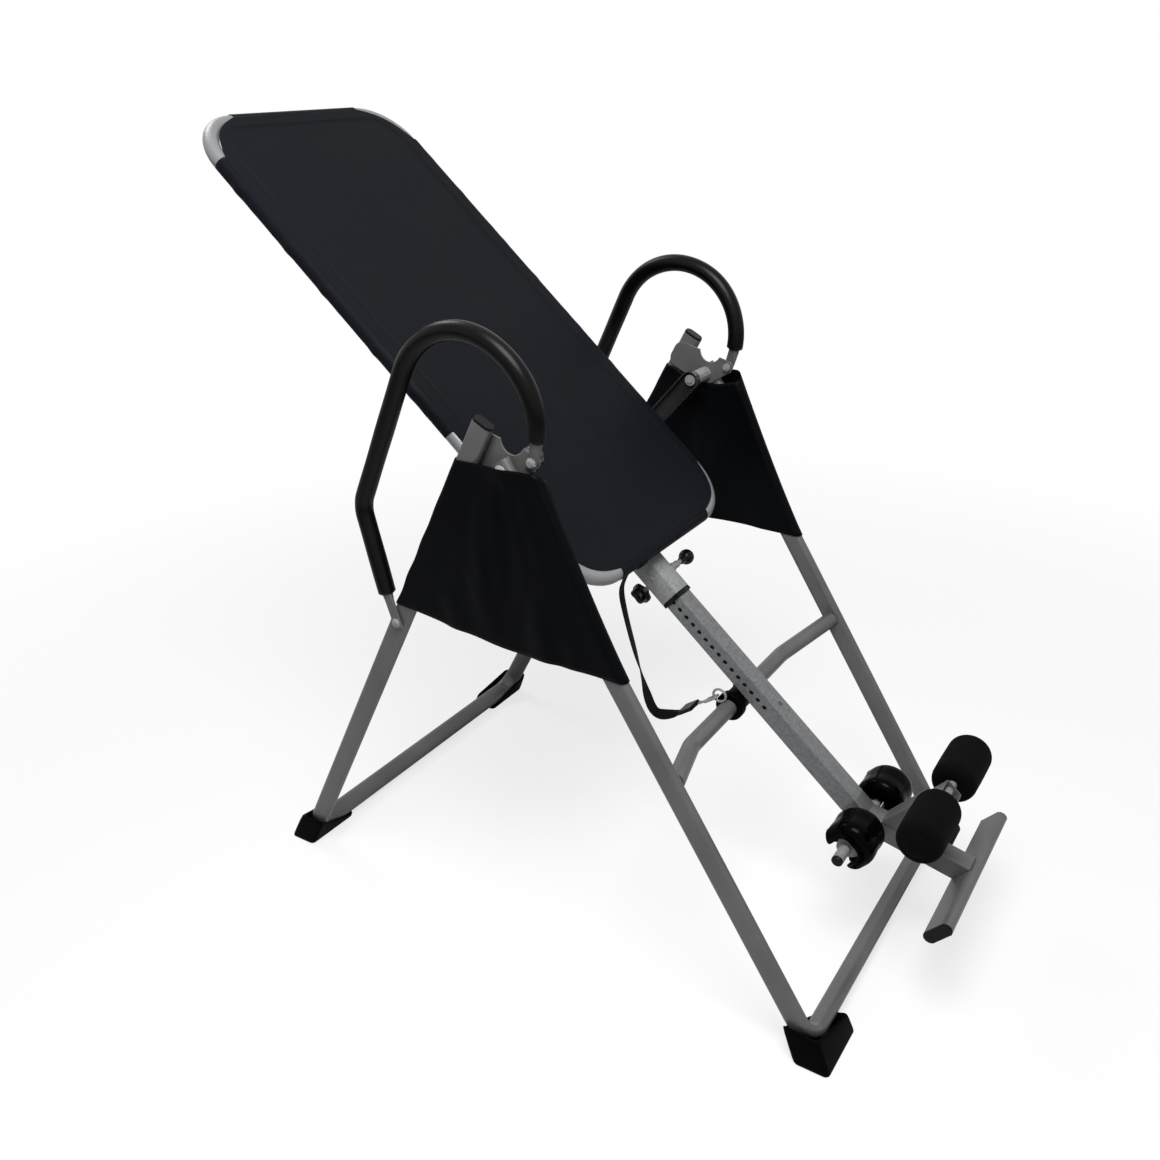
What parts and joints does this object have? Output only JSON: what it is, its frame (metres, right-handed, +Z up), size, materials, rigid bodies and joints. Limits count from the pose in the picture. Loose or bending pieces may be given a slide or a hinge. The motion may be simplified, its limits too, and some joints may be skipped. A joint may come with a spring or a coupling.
{
  "type": "inversion table",
  "caption": "Folding inversion table: a tube A-frame carries a tilting cloth bed on pivot arms, with a sliding boom, foam ankle rollers, heel cups, foot bar and side handles.",
  "frame": {"origin": "on the floor, at the middle of the table's footprint", "axes": "+Z up, +Y from the foot end to the head end, +X to the left of a person who lies on the bed"},
  "size_m": [0.7214, 1.4126, 1.3729],
  "materials": {
    "grey_painted_steel": "satin",
    "zinc_plated_steel": "satin",
    "black_painted_steel": "gloss",
    "black_rubber": "satin",
    "black_plastic": "matte",
    "black_foam": "matte",
    "black_grip_foam": "satin",
    "black_nylon_cloth": "woven",
    "black_webbing": "woven"
  },
  "bodies": {
    "rear_frame": {"rear_frame": "grey_painted_steel", "rear_leg_plug_L": "black_plastic", "rear_leg_plug_R": "black_plastic", "rear_foot_L": "black_rubber", "rear_foot_R": "black_rubber", "hinge_bracket_L": "grey_painted_steel", "hinge_bracket_R": "grey_painted_steel", "handle_L": "grey_painted_steel", "handle_R": "grey_painted_steel", "handle_grip_L": "black_grip_foam", "handle_grip_R": "black_grip_foam", "pivot_bolt_L": "zinc_plated_steel", "pivot_bolt_R": "zinc_plated_steel", "handle_rear_bolt_L": "zinc_plated_steel", "handle_rear_bolt_R": "zinc_plated_steel", "handle_front_bolt_L": "zinc_plated_steel", "handle_front_bolt_R": "zinc_plated_steel", "side_cover_L": "black_nylon_cloth", "side_cover_R": "black_nylon_cloth"},
    "front_frame": {"front_frame": "grey_painted_steel", "front_foot_L": "black_rubber", "front_foot_R": "black_rubber", "cross_brace": "grey_painted_steel", "boom_bumper": "black_rubber", "tether_ring": "zinc_plated_steel", "snap_hook": "zinc_plated_steel", "tether_slider": "black_plastic", "tether_strap": "black_webbing"},
    "bed": {"bed_frame_upper": "grey_painted_steel", "bed_frame_lower": "grey_painted_steel", "bed_crossbar_head": "grey_painted_steel", "bed_crossbar_foot": "grey_painted_steel", "bed_cover": "black_nylon_cloth", "pivot_arm_L": "black_painted_steel", "pivot_arm_R": "black_painted_steel", "pivot_bushing_L": "zinc_plated_steel", "pivot_bushing_R": "zinc_plated_steel", "boom_sleeve": "zinc_plated_steel", "sleeve_collar": "black_plastic", "pin_housing": "zinc_plated_steel"},
    "boom": {"boom_tube": "zinc_plated_steel", "foot_post": "grey_painted_steel", "foot_bar": "grey_painted_steel", "foot_bar_plug_L": "black_plastic", "foot_bar_plug_R": "black_plastic", "heel_rod": "zinc_plated_steel", "heel_rod_plug_L": "black_plastic", "heel_rod_plug_R": "black_plastic", "heel_cup_L": "black_rubber", "heel_cup_R": "black_rubber", "heel_plate_L": "zinc_plated_steel", "heel_plate_R": "zinc_plated_steel", "ankle_socket": "grey_painted_steel"},
    "ankle_clamp": {"roller_post": "grey_painted_steel", "roller_axle": "zinc_plated_steel"},
    "roller_left": {"roller_L": "black_foam"},
    "roller_right": {"roller_R": "black_foam"},
    "pull_pin": {"pull_pin": "zinc_plated_steel"},
    "lock_knob": {"lock_knob": "black_plastic"},
    "ankle_lever": {"ankle_lever": "black_painted_steel"}
  },
  "joints": [
    {"name": "fold", "type": "hinge", "parent": "rear_frame", "child": "front_frame", "pos_m": [0, 0, 0.886], "axis": [1, 0, 0], "range_deg": [0, 50], "deforming": ["side_cover_L", "side_cover_R"]},
    {"name": "bed_tilt", "type": "hinge", "parent": "front_frame", "child": "bed", "pos_m": [0, 0, 0.886], "axis": [-1, 0, 0], "range_deg": [0, 131], "deforming": ["tether_strap"]},
    {"name": "boom_slide", "type": "slide", "parent": "bed", "child": "boom", "axis": [0, -0.749, -0.6626], "range_m": [-0.2958, 0.0348]},
    {"name": "ankle_clamp_slide", "type": "slide", "parent": "boom", "child": "ankle_clamp", "axis": [0, -0.6626, 0.749], "range_m": [-0.012, 0.03]},
    {"name": "roller_left_spin", "type": "hinge", "parent": "ankle_clamp", "child": "roller_left", "pos_m": [0, -0.62325, 0.32125], "axis": [1, 0, 0], "continuous": true},
    {"name": "roller_right_spin", "type": "hinge", "parent": "ankle_clamp", "child": "roller_right", "pos_m": [0, -0.62325, 0.32125], "axis": [1, 0, 0], "continuous": true},
    {"name": "pull_pin_slide", "type": "slide", "parent": "bed", "child": "pull_pin", "axis": [1, 0, 0], "range_m": [0, 0.012], "stiffness_N_per_m": 400, "springref_m": -0.005},
    {"name": "lock_knob_turn", "type": "hinge", "parent": "bed", "child": "lock_knob", "pos_m": [0, -0.06746, 0.58224], "axis": [0, -0.6626, 0.749], "continuous": true},
    {"name": "ankle_lever_slide", "type": "slide", "parent": "boom", "child": "ankle_lever", "axis": [1, 0, 0], "range_m": [0, 0.008], "stiffness_N_per_m": 300, "springref_m": -0.004}
  ]
}
